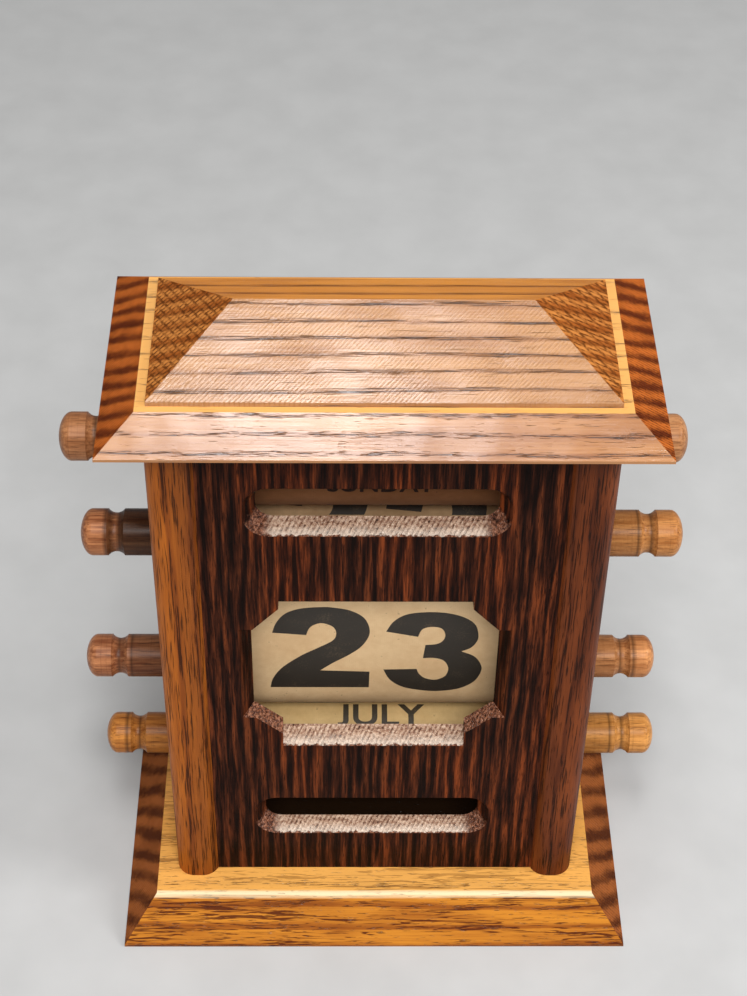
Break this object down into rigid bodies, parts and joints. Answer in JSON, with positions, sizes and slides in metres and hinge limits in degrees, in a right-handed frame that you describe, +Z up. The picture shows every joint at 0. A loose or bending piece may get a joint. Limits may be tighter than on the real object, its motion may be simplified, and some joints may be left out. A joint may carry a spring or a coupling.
{
  "type": "perpetual desk calendar",
  "caption": "Small wooden case with a hipped roof whose side knobs turn rollers that show a weekday, a date and a month in bevelled apertures.",
  "frame": {"origin": "middle of the plinth's underside", "axes": "+Z up, +X to the right along the rollers, +Y to the back; the apertures face -Y"},
  "size_m": [0.125, 0.0662, 0.1562],
  "materials": {
    "oak_plinth": "satin varnish over open-pored oak, grain along X",
    "oak_roof": "gloss varnish over open-pored oak, grain along X",
    "side_wood": "satin varnish, grain along Z",
    "panel_wood": "satin varnish over dark striped wood, grain along Z",
    "back_wood": "thin varnish, grain along Z",
    "knob_wood": "turned and varnished",
    "barrel_wood": "bare turned wood",
    "strip_paper": "aged linen-backed paper",
    "band_paper": "aged paper",
    "ink": "faded printing ink",
    "screw_steel": "dull",
    "screw_brass": "dull"
  },
  "bodies": {
    "case": {"base_plinth": "oak_plinth", "left_side_board": "side_wood", "right_side_board": "side_wood", "front_panel": "panel_wood", "back_panel": "back_wood", "cornice_board": "oak_roof", "roof_block": "oak_roof", "date_strip": "strip_paper", "base_screws": "screw_steel", "cornice_screws": "screw_steel", "back_screws": "screw_brass"},
    "day_roller": {"day_drum": "barrel_wood", "day_band": "band_paper", "day_knob_left": "knob_wood", "day_knob_right": "knob_wood"},
    "upper_roller": {"upper_date_roller": "barrel_wood", "upper_strip_roll": "strip_paper", "upper_date_knob_left": "knob_wood", "upper_date_knob_right": "knob_wood"},
    "lower_roller": {"lower_date_roller": "barrel_wood", "lower_strip_roll": "strip_paper", "lower_date_knob_left": "knob_wood", "lower_date_knob_right": "knob_wood"},
    "month_roller": {"month_drum": "barrel_wood", "month_band": "band_paper", "month_knob_left": "knob_wood", "month_knob_right": "knob_wood"}
  },
  "joints": [
    {"name": "day_turn", "type": "hinge", "parent": "case", "child": "day_roller", "pos_m": [0, 0.00375, 0.11791], "axis": [1, 0, 0], "continuous": true},
    {"name": "upper_date_turn", "type": "hinge", "parent": "case", "child": "upper_roller", "pos_m": [0, 0.00375, 0.092], "axis": [1, 0, 0], "range_deg": [-1399.7, 3849.3]},
    {"name": "lower_date_turn", "type": "hinge", "parent": "case", "child": "lower_roller", "pos_m": [0, 0.00375, 0.0549], "axis": [1, 0, 0], "range_deg": [-1586, 4358.1]},
    {"name": "month_turn", "type": "hinge", "parent": "case", "child": "month_roller", "pos_m": [0, 0.00375, 0.0293], "axis": [1, 0, 0], "continuous": true}
  ],
  "couplings": [
    {"joint": "lower_date_turn", "follows": "upper_date_turn", "ratio": 1.1317}
  ]
}
